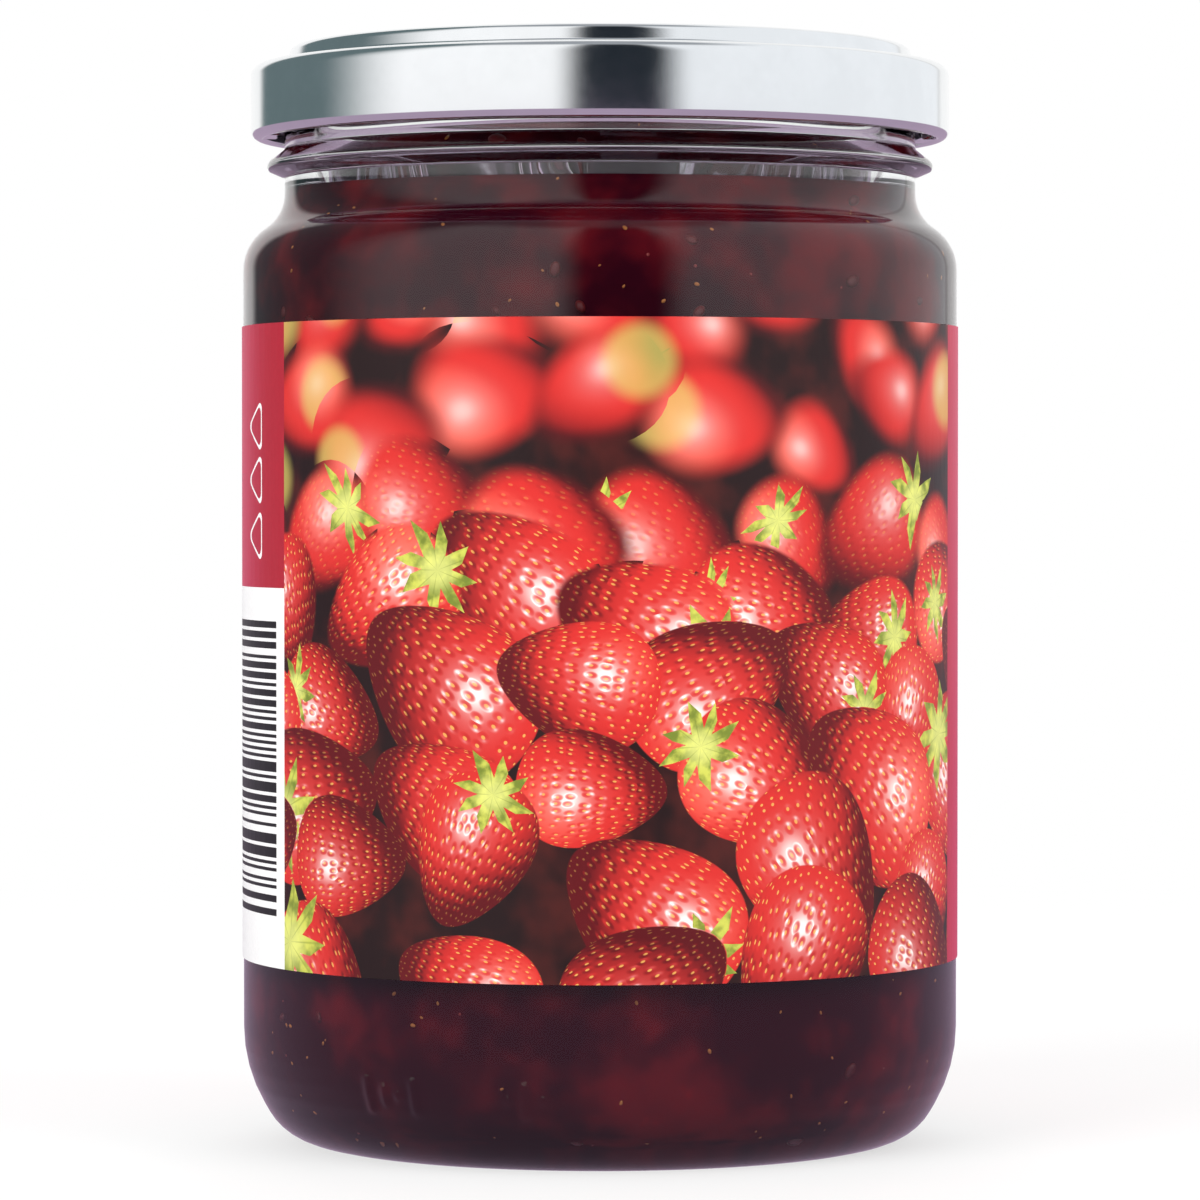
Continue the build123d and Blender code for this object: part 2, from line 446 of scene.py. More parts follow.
def rounded(rows: list[Row], closed: bool = False, step: float = 0.14) -> list[Point]:
    """Points along straight runs whose corners are rounded.

    Args:
        rows: Radius, height and corner rounding of each corner.
        closed: Whether the last corner joins the first.
        step: Turn between points on an arc, in radians.

    Returns:
        (radius, height) points.
    """
    points: list[Point] = []
    for index, (r, z, rounding) in enumerate(rows):
        here = Vector((r, z))
        last = index in (0, len(rows) - 1) and not closed
        if rounding <= 0 or last:
            points.append((r, z))
            continue
        back = (Vector(rows[index - 1][:2]) - here).normalized()
        ahead = (Vector(rows[(index + 1) % len(rows)][:2]) - here).normalized()
        half = back.angle(ahead) / 2
        run = rounding / tan(half)
        centre = here + (back + ahead).normalized() * (rounding / sin(half))
        start = here + back * run - centre
        count = max(2, round((pi - 2 * half) / step))
        turn = start.angle_signed(here + ahead * run - centre)
        for each in range(count + 1):
            angle = -turn * each / count
            points.append((centre.x + start.x * cos(angle) - start.y * sin(angle),
                           centre.y + start.x * sin(angle) + start.y * cos(angle)))
    return points


def filled(points: list[Point], low: float, high: float, step: float) -> list[Point]:
    """Add points along runs that lie between two heights, so that relief there has room.

    Args:
        points: The line, in millimetres.
        low: Lowest height that gets more points.
        high: Highest height that gets more points.
        step: Longest distance between points there.

    Returns:
        The line with the added points.
    """
    made = points[:1]
    for (r0, z0), (r1, z1) in zip(points, points[1:]):
        count = 1
        if low < (z0 + z1) / 2 < high:
            count = max(1, round(hypot(r1 - r0, z1 - z0) / step))
        made += [(r0 + (r1 - r0) * k / count, z0 + (z1 - z0) * k / count) for k in range(1, count + 1)]
    return made


def outline_object(name: str, points: list[Point]) -> bpy.types.Object:
    """A bare line of points as an object.

    Args:
        name: The object's name.
        points: Radius and height of each point, in millimetres.

    Returns:
        The object.
    """
    mesh = bpy.data.meshes.new(name)
    vertices = [(r * MM, 0.0, z * MM) for r, z in points]
    mesh.from_pydata(vertices, [(i, i + 1) for i in range(len(points) - 1)], [])
    made = bpy.data.objects.new(name, mesh)
    bpy.context.collection.objects.link(made)
    return made


class NodeShape:
    """A Geometry Nodes tree with named inputs, run once to give a plain mesh."""

    def __init__(self, name: str, inputs: dict[str, tuple[str, float]]) -> None:
        """Start a tree.

        Args:
            name: The tree's name.
            inputs: Socket type and default of each named input.
        """
        self.tree = bpy.data.node_groups.new(name, "GeometryNodeTree")
        self.tree.interface.new_socket("Geometry", in_out="INPUT", socket_type="NodeSocketGeometry")
        for label, (kind, default) in inputs.items():
            made = self.tree.interface.new_socket(label, in_out="INPUT", socket_type=kind)
            if default is not None:
                made.default_value = default
        self.tree.interface.new_socket("Geometry", in_out="OUTPUT", socket_type="NodeSocketGeometry")
        self.graph = Graph(self.tree)
        self.source = self.graph.node("NodeGroupInput")
        self.result = self.graph.node("NodeGroupOutput")

    def finish(self, geometry: Socket) -> None:
        """End the tree: realize, shade smooth and set the material."""
        graph = self.graph
        real = graph.node("GeometryNodeRealizeInstances", {0: geometry}).outputs[0]
        smooth = graph.node("GeometryNodeSetShadeSmooth", {0: real}).outputs[0]
        dressed = graph.node("GeometryNodeSetMaterial", {
            0: smooth, "Material": self.source.outputs["Material"]})
        graph.put(self.result.inputs[0], dressed.outputs[0])

    def run(self, name: str, carrier: bpy.types.Object, values: dict[str, object]) -> bpy.types.Object:
        """Run the tree on an object and keep the result as a plain mesh.

        Args:
            name: The new piece's name.
            carrier: The object that gives the tree its geometry.
            values: Input values by name.

        Returns:
            The piece, at the origin.
        """
        modifier = carrier.modifiers.new(self.tree.name, "NODES")
        modifier.node_group = self.tree
        sockets = self.tree.interface.items_tree
        ids = {item.name: item.identifier for item in sockets if item.in_out == "INPUT"}
        for label, value in values.items():
            modifier[ids[label]] = value
        bpy.context.view_layer.update()
        graph = bpy.context.evaluated_depsgraph_get()
        mesh = bpy.data.meshes.new_from_object(carrier.evaluated_get(graph))
        carrier.modifiers.remove(modifier)
        piece = bpy.data.objects.new(name, mesh)
        mesh.name = name
        bpy.context.collection.objects.link(piece)
        bpy.data.objects.remove(carrier)
        return piece


@dataclass
class Turning:
    """Turns a line of points round Z, with optional relief on its outside, by Geometry Nodes."""

    segments: int = 256
    closed: bool = False

    def tree(self, relief: Relief) -> NodeShape:
        """Build the tree.

        Args:
            relief: Function of graph, radius, height and turn that gives an offset outwards, or None.

        Returns:
            The tree.
        """
        shape = NodeShape("turned", {"Segments": ("NodeSocketInt", 64), "Rows": ("NodeSocketInt", 2),
                                     "Material": ("NodeSocketMaterial", None)})
        graph, source = shape.graph, shape.source
        columns = graph.add(source.outputs["Segments"], 1)
        grid = graph.node("GeometryNodeMeshGrid", {"Size X": 1.0, "Size Y": 1.0, "Vertices X": columns,
                                                   "Vertices Y": source.outputs["Rows"]})
        index = graph.node("GeometryNodeInputIndex").outputs[0]
        row = graph.math("MODULO", index, source.outputs["Rows"])
        column = graph.math("FLOOR", graph.div(graph.add(index, 0.5),
                                                source.outputs["Rows"]))
        sample = graph.node("GeometryNodeSampleIndex", data_type="FLOAT_VECTOR")
        graph.put(sample.inputs[0], source.outputs["Geometry"])
        graph.put(sample.inputs["Value"], graph.node("GeometryNodeInputPosition").outputs[0])
        graph.put(sample.inputs["Index"], row)
        radius, _, height = graph.split(sample.outputs[0])
        turn = graph.mul(graph.div(column, source.outputs["Segments"]), 2 * pi)
        if relief is not None:
            radius = graph.add(radius, relief(graph, radius, height, turn))
        place = graph.join(graph.mul(radius, graph.math("COSINE", turn)),
                           graph.mul(radius, graph.math("SINE", turn)), height)
        moved = graph.node("GeometryNodeSetPosition", {0: grid.outputs[0], "Position": place}).outputs[0]
        merged = graph.node("GeometryNodeMergeByDistance", {0: moved, "Distance": 1e-6}).outputs[0]
        shape.finish(merged)
        return shape

    def make(self, name: str, points: list[Point], material: bpy.types.Material,
             relief: Relief = None) -> bpy.types.Object:
        """Turn the points into a closed mesh whose faces point outwards.

        Args:
            name: The piece's name.
            points: The line, in millimetres.
            material: What the piece is made of.
            relief: Relief on the outside, or None.

        Returns:
            The piece.
        """
        rows = points + points[:1] if self.closed else points
        values = {"Segments": self.segments, "Rows": len(rows), "Material": material}
        piece = self.tree(relief).run(name, outline_object(name + "_line", rows), values)
        face_outwards(piece)
        return piece


def face_outwards(piece: bpy.types.Object) -> None:
    """Turn a closed mesh's faces so that its volume is positive.

    Args:
        piece: The object whose mesh is turned.
    """
    mesh = bmesh.new()
    mesh.from_mesh(piece.data)
    bmesh.ops.recalc_face_normals(mesh, faces=mesh.faces)
    if mesh.calc_volume(signed=True) < 0:
        bmesh.ops.reverse_faces(mesh, faces=mesh.faces)
    mesh.to_mesh(piece.data)
    mesh.free()


def fit_to_frame(piece: bpy.types.Object, node: str | None) -> None:
    """Make a piece ride on the one body and stand for its CAD node."""
    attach(piece, "root")
    if node is not None:
        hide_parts(node)
    LOG.info("%s: %d faces", piece.name, len(piece.data.polygons))


@dataclass
class GlassJar:
    """The glass. Sizes are millimetres, and overall sizes come from the CAD node."""

    body_r: float
    rim_z: float
    neck_r: float = 31.2
    neck_h: float = 14.9
    wall: float = 2.4
    floor_z: float = 4.3
    push_up: float = 2.6
    heel_z: float = 7.3
    heel_lean: float = 30.0
    flat_r: float = 25.6
    inner_flat_r: float = 20.5
    inner_heel_z: float = 10.505
    inner_push_up: float = 1.82
    shoulder_lean: float = 54.0
    bead_up: float = 4.7
    thread_r: float = 1.4
    thread_rise: float = 2.3
    thread_turn: float = 75.0
    starts: int = 4
    thread_z: float = 101.4
    mark_z: float = 7.2
    mark_out: float = 0.25
    marks: tuple[Point, ...] = (
        (-38.9, 2.8), (-35.7, 1.4), (-33.1, 0.0), (-30.1, 2.8), (-14.3, 0.0), (-11.5, 2.8), (-8.7, 0.0))

    def shoulder(self, inset: float) -> list[Row]:
        """The two corners of the shoulder, moved in by a wall's thickness."""
        slope = radians(self.shoulder_lean)
        top = self.rim_z - self.neck_h - inset * tan(slope / 2)
        low = top - (self.body_r - self.neck_r) / tan(slope)
        return [(self.body_r - inset, low, 4.9 - inset), (self.neck_r - inset, top, 4.2 + inset)]

    def inside(self, inset: float = 0.0) -> list[Row]:
        """The inside from the floor's middle to the neck, moved into the glass by inset."""
        reach = self.body_r - self.wall + inset
        foot = reach - (self.inner_heel_z - self.floor_z) * tan(radians(self.heel_lean))
        return [(0.0, self.floor_z + self.inner_push_up - inset, 0.0),
                (self.inner_flat_r, self.floor_z - inset, 20.0),
                (foot, self.floor_z - inset, 5.0), (reach, self.inner_heel_z, 12.6),
                *self.shoulder(self.wall - inset)]

    def outside(self) -> list[Row]:
        """The outside from the base's middle to the rim."""
        foot = self.body_r - self.heel_z * tan(radians(self.heel_lean))
        bead = self.rim_z - self.neck_h + self.bead_up
        return [(0.0, self.push_up, 0.0), (self.flat_r, 0.0, 0.6), (foot, 0.0, 6.0),
                (self.body_r, self.heel_z, 15.0),
                *self.shoulder(0.0), (self.neck_r, bead - 1.05, 0.3), (self.neck_r + 1.65, bead - 0.35, 0.4),
                (self.neck_r + 1.75, bead + 0.35, 0.7), (self.neck_r, bead + 1.7, 0.4),
                (self.neck_r, self.rim_z, 1.1), (self.neck_r - self.wall, self.rim_z, 1.1)]

    def relief(self, graph: Graph, radius: Socket, height: Socket, turn: Socket) -> Socket:
        """Threads on the neck and raised mould marks on the heel.

        Args:
            graph: The tree's graph.
            radius: Distance from the axis.
            height: Height above the base.
            turn: Angle round the axis.

        Returns:
            The offset outwards, in metres.
        """
        start = graph.math("FRACT", graph.mul(turn, self.starts / (2 * pi)))
        along = graph.mul(start, 360.0 / self.starts / self.thread_turn)
        middle = graph.mul_add(along, self.thread_rise * MM, self.thread_z * MM)
        up = graph.div(graph.sub(height, middle), self.thread_r * MM)
        ridge = graph.math("SQRT", graph.math("MAXIMUM", graph.sub(1.0, graph.mul(up, up)), 0.0))
        ends = graph.mul(graph.ease(along, 0.0, 0.06), graph.ease(along, 1.0, 0.94))
        outer = graph.math("GREATER_THAN", radius, (self.neck_r - 0.2) * MM)
        total = graph.mul(graph.mul(ridge, ends), graph.mul(outer, self.thread_r * MM))
        low = graph.mul(graph.math("LESS_THAN", height, 14.0 * MM), graph.math(
            "GREATER_THAN", radius, (self.body_r - 3.2) * MM))
        for side, length in self.marks:
            at = radians((270.0 + side) % 360.0)
            across = graph.mul(graph.sub(turn, at), 34.0)
            rise = graph.sub(graph.div(height, MM), self.mark_z)
            past = graph.math("MAXIMUM", graph.sub(graph.math("ABSOLUTE", rise), length / 2), 0.0)
            far = graph.vec("LENGTH", graph.join(across, past, 0.0))
            lift = graph.mul(graph.ease(far, 0.6, 0.25),
                              graph.mul(low, self.mark_out * MM))
            total = graph.add(total, lift)
        return total

    def make(self) -> None:
        """Turn the glass, outside and inside in one closed skin."""
        outer = filled(rounded(self.outside()), self.mark_z - 2.6, self.mark_z + 2.6, 0.34)
        outer = filled(outer, self.thread_z - 1.6, self.rim_z - 0.9, 0.4)
        inner = rounded(self.inside())
        skin = outer + inner[::-1]
        glass = Turning(segments=600).make("glass_jar_skin", skin, GlassFinish().make(), self.relief)
        fit_to_frame(glass, "glass_jar")


@dataclass
class Filling:
    """The jam, reaching just into the glass, with seeds, fruit and bubbles against the wall."""

    jar: GlassJar
    level: float
    into_glass: float = 0.15
    seeds: int = 520
    bits: int = 110
    bubbles: int = 90

    def rows(self) -> list[Point]:
        """The jam's outline up to its level, creeping a little up the glass."""
        inside = [p for p in rounded(self.jar.inside(self.into_glass)) if p[1] < self.level]
        neck = self.jar.neck_r - self.jar.wall + self.into_glass
        return inside + [(neck, self.level - 0.6), (neck, self.level + 0.35), (neck - 0.5, self.level - 0.1),
                         (neck - 1.6, self.level - 0.3), (neck * 0.55, self.level - 0.1),
                         (0.0, self.level + 0.1)]

    def relief(self, graph: Graph, radius: Socket, height: Socket, turn: Socket) -> Socket:
        """Uneven edge of the jam's top, as an offset in metres."""
        place = graph.join(graph.math("COSINE", turn), graph.math("SINE", turn),
                           graph.mul(height, 90.0))
        uneven = graph.sub(graph.noise(place, 5.0, 2.0), 0.5)
        top = graph.ease(height, (self.level - 0.2) * MM, (self.level + 0.2) * MM)
        return graph.mul(graph.mul(uneven, top), 0.0008)

    def scatter(self) -> NodeShape:
        """A tree that scatters small ovals over the jam, lying along its surface."""
        inputs = {"Count": ("NodeSocketFloat", 1.0), "Radius": ("NodeSocketFloat", MM),
                  "Stretch": ("NodeSocketFloat", 1.0), "Seed": ("NodeSocketInt", 1),
                  "Material": ("NodeSocketMaterial", None)}
        shape = NodeShape("specks", inputs)
        graph, source = shape.graph, shape.source
        spread = graph.node("GeometryNodeDistributePointsOnFaces", {
            0: source.outputs["Geometry"], "Density": source.outputs["Count"],
            "Seed": source.outputs["Seed"]})
        ball = graph.node("GeometryNodeMeshIcoSphere", {
            "Radius": source.outputs["Radius"], "Subdivisions": 2})
        size = graph.join(1.0, source.outputs["Stretch"], 0.55)
        oval = graph.node("GeometryNodeTransform", {0: ball.outputs[0], "Scale": size}).outputs[0]
        spin = graph.node("FunctionNodeRandomValue", data_type="FLOAT_VECTOR")
        spin.inputs[1].default_value = (0.2, 0.2, 6.28)
        graph.put(spin.inputs["Seed"], source.outputs["Seed"])
        turned = graph.node("FunctionNodeRotateRotation", {0: spread.outputs["Rotation"], 1: spin.outputs[0]},
                            rotation_space="LOCAL")
        grow = graph.node("FunctionNodeRandomValue", {2: 0.55, 3: 1.25}, data_type="FLOAT")
        placed = graph.node("GeometryNodeInstanceOnPoints", {
            0: spread.outputs[0], "Instance": oval, "Rotation": turned.outputs[0], "Scale": grow.outputs[1]})
        shape.finish(placed.outputs[0])
        return shape

    def make(self) -> None:
        """Turn the jam and scatter what shows in it."""
        jam = Turning(segments=220).make("jam_body", self.rows(), JamFinish().make(), self.relief)
        jam_area = sum(face.area for face in jam.data.polygons)
        fit_to_frame(jam, "jam")
        kinds = (
            ("jam_seeds", self.seeds, 0.30, 1.55, SEED, 3),
            ("jam_fruit_bits", self.bits, 1.1, 1.5, FRUIT_BIT, 5),
            ("jam_bubbles", self.bubbles, 0.3, 1.0, BUBBLE, 8),
        )
        for name, count, width, stretch, finish, seed in kinds:
            carrier = bpy.data.objects.new(name, jam.data.copy())
            bpy.context.collection.objects.link(carrier)
            values = {"Count": count / jam_area, "Radius": width * MM * 0.5, "Stretch": stretch,
                      "Seed": seed, "Material": finish.make()}
            piece = self.scatter().run(name, carrier, values)
            fit_to_frame(piece, None)


@dataclass
class TwistLid:
    """The pressed lid. Its height and place come from the CAD node."""

    crown_z: float
    low_z: float
    skirt_r: float
    rim_z: float
    neck_r: float = 31.2
    sheet: float = 0.25
    curl: float = 1.35
    curl_h: float = 1.5
    thread_r: float = 1.4
    lugs: int = 4
    lug_bite: float = 0.7
    lug_turn: float = 12.0
    lug_t: float = 0.9
    panel_drop: float = 1.5
    ledge_drop: float = 1.6
    ledge_rise: float = 0.3
    ring_in: float = 0.65
    ring_w: float = 2.7
    ring_slope: float = 1.4
    button_r: float = 11.0
    button_drop: float = 0.05
    step_r: float = 18.5
    step_h: float = 0.45
    seal_w: float = 2.4
    seal_gap: float = 0.03

    def face(self, inset: float) -> list[Row]:
        """The top and skirt from the middle outwards.

        Args:
            inset: Distance that the face is moved into the sheet.

        Returns:
            Corners with their rounding.
        """
        crown = self.crown_z - inset
        panel, ledge = crown - self.panel_drop, crown - self.ledge_drop
        ring = self.neck_r - self.ring_in
        button, step = panel - self.button_drop, panel + self.step_h
        return [(0.0, button, 0.0), (self.button_r - 3.0, button, 6.0), (self.button_r, step, 1.5),
                (self.step_r - inset, step, 1.0), (self.step_r + 1.0 - inset, panel, 1.0),
                (ring - self.ring_w - self.ring_slope + inset, panel, 1.0),
                (ring - self.ring_w + inset, crown, 1.0 - inset), (ring - inset, crown, 0.75 - inset),
                (ring + 0.35 - inset, ledge, 0.3 + inset),
                (self.skirt_r - inset, ledge - self.ledge_rise, 1.15 - inset)]

    def make(self) -> None:
        """Turn the sheet with its rolled edge, then the lugs and the sealing ring."""
        metal = TinplateFinish().make()
        roll_in = self.skirt_r - self.curl
        out, back = self.face(0.0), self.face(self.sheet)
        edge = [(self.skirt_r, self.low_z, 0.85), (roll_in, self.low_z, 0.4),
                (roll_in, self.low_z + self.curl_h, 0.4),
                (self.skirt_r - self.sheet, self.low_z + self.curl_h + 0.25, 0.2)]
        line = rounded([*out, *edge, *reversed(back)], step=0.1)
        shell = Turning(segments=320).make("lid_shell", line, metal)
        fit_to_frame(shell, "lid")
        low, high = self.rim_z + self.seal_gap, self.crown_z - 0.2
        far = self.neck_r - self.ring_in - self.sheet - 0.05
        near = far - self.seal_w + 0.05
        line = rounded([(near, low, 0.2), (far, low, 0.2), (far, high, 0.4), (near, high, 0.4)], closed=True)
        seal = Turning(segments=128, closed=True).make("lid_seal", line, CompoundFinish().make())
        fit_to_frame(seal, None)
        self.make_lugs(metal, roll_in)

    def make_lugs(self, metal: bpy.types.Material, roll_in: float) -> None:
        """Repeat one folded lug round the rolled edge.

        Args:
            metal: The lid's material.
            roll_in: Inner radius of the rolled edge.
        """
        shape = NodeShape("lug_ring", {"Lugs": ("NodeSocketInt", 4),
                                       "Material": ("NodeSocketMaterial", None)})
        graph, source = shape.graph, shape.source
        points = graph.node("GeometryNodePoints", {"Count": source.outputs["Lugs"]}).outputs[0]
        index = graph.node("GeometryNodeInputIndex").outputs[0]
        turn = graph.mul(index, graph.div(2 * pi, source.outputs["Lugs"]))
        spin = graph.join(0.0, 0.0, turn)
        placed = graph.node("GeometryNodeInstanceOnPoints", {
            0: points, "Instance": source.outputs["Geometry"], "Rotation": spin})
        shape.finish(placed.outputs[0])
        bite, back = self.neck_r + self.thread_r - self.lug_bite, roll_in + 0.5
        top = self.low_z + self.curl_h - 0.4
        low = top - self.lug_t
        section = rounded([(bite, low, 0.3), (back, low, 0.1), (back, top, 0.1), (bite, top, 0.3)],
                          closed=True)
        steps, count = 10, len(section)
        turns = [radians(self.lug_turn * s / steps) for s in range(steps + 1)]
        vertices = [(r * MM * cos(a), r * MM * sin(a), z * MM) for a in turns for r, z in section]
        faces = [(s * count + i, s * count + (i + 1) % count,
                  (s + 1) * count + (i + 1) % count, (s + 1) * count + i)
                 for s in range(steps) for i in range(count)]
        faces += [tuple(range(count)), tuple(range(steps * count, (steps + 1) * count))]
        mesh = bpy.data.meshes.new("lug")
        mesh.from_pydata(vertices, [], faces)
        lug = bpy.data.objects.new("lug", mesh)
        bpy.context.collection.objects.link(lug)
        face_outwards(lug)
        piece = shape.run("lid_lugs", lug, {"Lugs": self.lugs, "Material": metal})
        fit_to_frame(piece, None)


@dataclass(frozen=True)
class Motif:
    """One printed shape of the picture: a fruit or a leaf crown, with its own axes."""

    x: float
    y: float
    size: float
    turn: float
    soft: float
    bright: float
    seed: float
    crown: bool
    outline: tuple[Point, ...]

    def local(self, u: float, v: float) -> tuple[float, float]:
        """A point's place on the motif's own axes, where its outline is about 1 across."""
        du, dv = (u - self.x) / self.size, (v - self.y) / self.size
        c, s = cos(self.turn), sin(self.turn)
        return du * c + dv * s, dv * c - du * s

    def world(self) -> list[Point]:
        """The outline on the label."""
        c, s = cos(self.turn), sin(self.turn)
        return [(self.x + self.size * (a * c - b * s), self.y + self.size * (a * s + b * c))
                for a, b in self.outline]


def fruit_outline(points: int = 40) -> tuple[Point, ...]:
    """The outline of a strawberry: broad at its crown, narrow at its tip."""
    turns = [2 * pi * k / points for k in range(points)]
    return tuple((sin(t) * (0.75 + 0.23 * cos(t)), cos(t)) for t in turns)


def crown_outline(draw: random.Random, soft: bool, squash: float) -> tuple[Point, ...]:
    """The outline of a leaf crown: pointed leaves of uneven length, or a plain oval when soft.

    Args:
        draw: Source of the unevenness.
        soft: Whether the crown is far off and blurred.
        squash: Its height as a share of its width.

    Returns:
        Points on the crown's own axes.
    """
    if soft:
        return tuple((cos(2 * pi * k / 20), sin(2 * pi * k / 20)) for k in range(20))
    leaves = 8
    points = []
    for leaf in range(leaves):
        middle = 2 * pi * (leaf + draw.uniform(-0.14, 0.14)) / leaves
        reach = draw.uniform(0.78, 1.0)
        for step, share in ((-0.5, 0.36), (-0.27, 0.66), (0.0, 1.0), (0.25, 0.70)):
            angle = middle + step * 2 * pi / leaves + (0.1 if step == 0.0 else 0.0)
            points.append((reach * share * cos(angle), reach * share * sin(angle) * squash))
    return tuple(points)


@dataclass
class WrapLabel:
    """The paper label: a picture field, a crimson panel, a white box with bars and plain marks."""

    radius: float
    low: float
    high: float
    paper: float = 0.1
    picture: tuple[float, float] = (-36.3, 44.9)
    box: tuple[float, float, float] = (-64.0, -36.3, 36.6)
    fold: float = 1.6
    overlap: float = 8.0
    layout_seed: int = 11

    def motifs(self) -> list[Motif]:
        """The pile of fruit from its far soft rows down to its near sharp ones."""
        draw = random.Random(self.layout_seed)
        tall = self.high - self.low
        made: list[Motif] = []
        rows = 8
        for row in range(rows):
            near = row / (rows - 1)
            soft = max(0.02, 0.66 - 1.35 * near)
            size = 7.6 + 2.4 * near
            pitch = size * (1.3 + 0.38 * near)
            height = tall * (1.0 - 0.985 * near ** 0.94)
            at = self.picture[0] - size * (0.5 + 0.5 * (row % 2)) - draw.uniform(0, 2)
            line = []
            while at < self.picture[1] + size:
                line.append((at, height + draw.uniform(-0.4, 0.4) * size))
                at += pitch * draw.uniform(0.86, 1.16)
            draw.shuffle(line)
            for x, y in line:
                made += self.one_fruit(draw, x, y, size * draw.uniform(0.76, 1.14), soft, near)
        return made

    def one_fruit(self, draw: random.Random, x: float, y: float, size: float, soft: float,
                  near: float) -> list[Motif]:
        """A fruit and, where it shows, its leaf crown.

        Args:
            draw: Source of the fruit's traits.
            x: Its middle, round the label.
            y: Its middle, up the label.
            size: Half its length.
            soft: How blurred it is.
            near: 0 for the farthest row, 1 for the nearest.

        Returns:
            The fruit, with or without a crown.
        """
        turn = draw.choice((-1, 1)) * draw.uniform(0.15, 2.5)
        bright = draw.uniform(0.68, 1.15) + 0.35 * (1 - near)
        seed = draw.random()
        fruit = Motif(x, y, size, turn, soft, bright, seed, False, fruit_outline())
        if draw.random() < 0.3 + 0.25 * (1 - near):
            return [fruit]
        up = draw.uniform(0.34, 0.84)
        crown_x, crown_y = x - sin(turn) * size * up, y + cos(turn) * size * up
        blurred = soft > 0.36
        outline = crown_outline(draw, blurred, draw.uniform(0.6, 1.0))
        reach = size * draw.uniform(0.56, 0.8) * (0.75 if blurred else 1.0)
        edge = soft if blurred else 0.0005 + 0.25 * soft
        crown = Motif(crown_x, crown_y, reach, turn, edge, bright, seed, True, outline)
        return [fruit, crown]

    def plain_shapes(self) -> list[tuple[Ink, list[Point]]]:
        """The flat shapes of the side and back panels, lowest first."""
        tall = self.high - self.low

        def block(u0: float, u1: float, v0: float, v1: float) -> list[Point]:
            return [(u0, v0), (u1, v0), (u1, v1), (u0, v1)]

        shapes = [(Ink.WHITE, block(self.box[0], self.box[1], 0.0, self.box[2]))]
        draw = random.Random(5)
        v = 5.0
        while v < 33.0:
            thick = draw.choice((0.33, 0.33, 0.66, 0.99))
            shapes.append((Ink.BLACK, block(-58.5, -38.0, v, v + thick)))
            v += thick + draw.choice((0.33, 0.33, 0.66))
        for middle in (41.6, 47.0, 52.2):
            for ink, size in ((Ink.WHITE, 3.1), (Ink.CRIMSON, 2.6)):
                shapes.append((ink, self.triangle(-43.2, middle, size)))
        shapes.append((Ink.WHITE, block(62.0, 96.0, 10.0, tall - 10.0)))
        shapes.append((Ink.CRIMSON, block(62.3, 95.7, 10.3, tall - 10.3)))
        for line in range(1, 9):
            v = 10.0 + line * (tall - 20.0) / 9
            shapes.append((Ink.WHITE, block(62.3, 95.7, v, v + 0.2)))
        shapes.append((Ink.WHITE, block(83.0, 83.2, 10.3, tall - 10.3)))
        return shapes

    @staticmethod
    def triangle(u: float, v: float, size: float) -> list[Point]:
        """A triangle with rounded corners, pointing to the left."""
        corners = [(u + size * cos(a), v + size * sin(a), 0.6) for a in (pi, -pi / 3, pi / 3)]
        return rounded(corners, closed=True, step=0.4)

    def cut(self, motifs: list[Motif], shapes: list) -> tuple[list, list]:
        """Cut the flat label along every outline.

        Args:
            motifs: The picture's shapes.
            shapes: The flat inks' shapes.

        Returns:
            Points and triangles of the cut.
        """
        half, tall = pi * self.radius, self.high - self.low
        points: list[Vector] = []
        edges: list[tuple[int, int]] = []

        def loop(outline: list[Point]) -> None:
            first = len(points)
            points.extend(Vector(p) for p in outline)
            edges.extend((first + i, first + (i + 1) % len(outline)) for i in range(len(outline)))

        loop([(-half, 0.0), (half, 0.0), (half, tall), (-half, tall)])
        left, right = self.picture
        loop([(left, 0.0), (right, 0.0), (right, tall), (left, tall)])
        folds = round(2 * half / self.fold)
        for k in range(1, folds):
            first = len(points)
            at = -half + 2 * half * k / folds
            points.extend((Vector((at, 0.0)), Vector((at, tall))))
            edges.append((first, first + 1))
        for motif in motifs:
            loop(motif.world())
        for _, outline in shapes:
            loop(outline)
        cut = delaunay_2d_cdt(points, edges, [], 0, 1e-5)
        return cut[0], cut[2]

    def make(self) -> None:
        """Cut, wrap and dress the label."""
        motifs, shapes = self.motifs(), self.plain_shapes()
        points, faces = self.cut(motifs, shapes)
        half, tall = pi * self.radius, self.high - self.low
        kept = []
        for face in faces:
            u = sum(points[i].x for i in face) / 3
            v = sum(points[i].y for i in face) / 3
            if abs(u) < half and 0 < v < tall:
                kept.append((face, u, v))
        layers = self.sort_faces(kept, motifs, shapes)
        self.wrap(points, kept, layers, motifs)

    def sort_faces(self, kept: list, motifs: list[Motif], shapes: list) -> list:
        """Find what shows at each triangle.

        Args:
            kept: Triangles, each with its middle.
            motifs: The picture's shapes, farthest first.
            shapes: The flat inks' shapes, lowest first.

        Returns:
            The ink, the upper and lower fruit and the crown of each triangle.
        """
        boxes = []
        for motif in motifs:
            outline = motif.world()
            us, vs = [p[0] for p in outline], [p[1] for p in outline]
            boxes.append((min(us), max(us), min(vs), max(vs), outline))
        layers = []
        for _, u, v in kept:
            if not self.picture[0] < u < self.picture[1]:
                ink = Ink.CRIMSON
                for each, outline in shapes:
                    if within(u, v, outline):
                        ink = each
                layers.append((ink, None, None, None))
                continue
            fruits: list[int] = []
            crown = None
            for index in range(len(motifs) - 1, -1, -1):
                left, right, low, high, outline = boxes[index]
                if not (left <= u <= right and low <= v <= high) or not within(u, v, outline):
                    continue
                if motifs[index].crown:
                    if crown is None and not fruits:
                        crown = index
                    continue
                fruits.append(index)
                if len(fruits) == 2:
                    break
            fruits += [None] * (2 - len(fruits))
            layers.append((Ink.PICTURE, fruits[0], fruits[1], crown))
        return layers

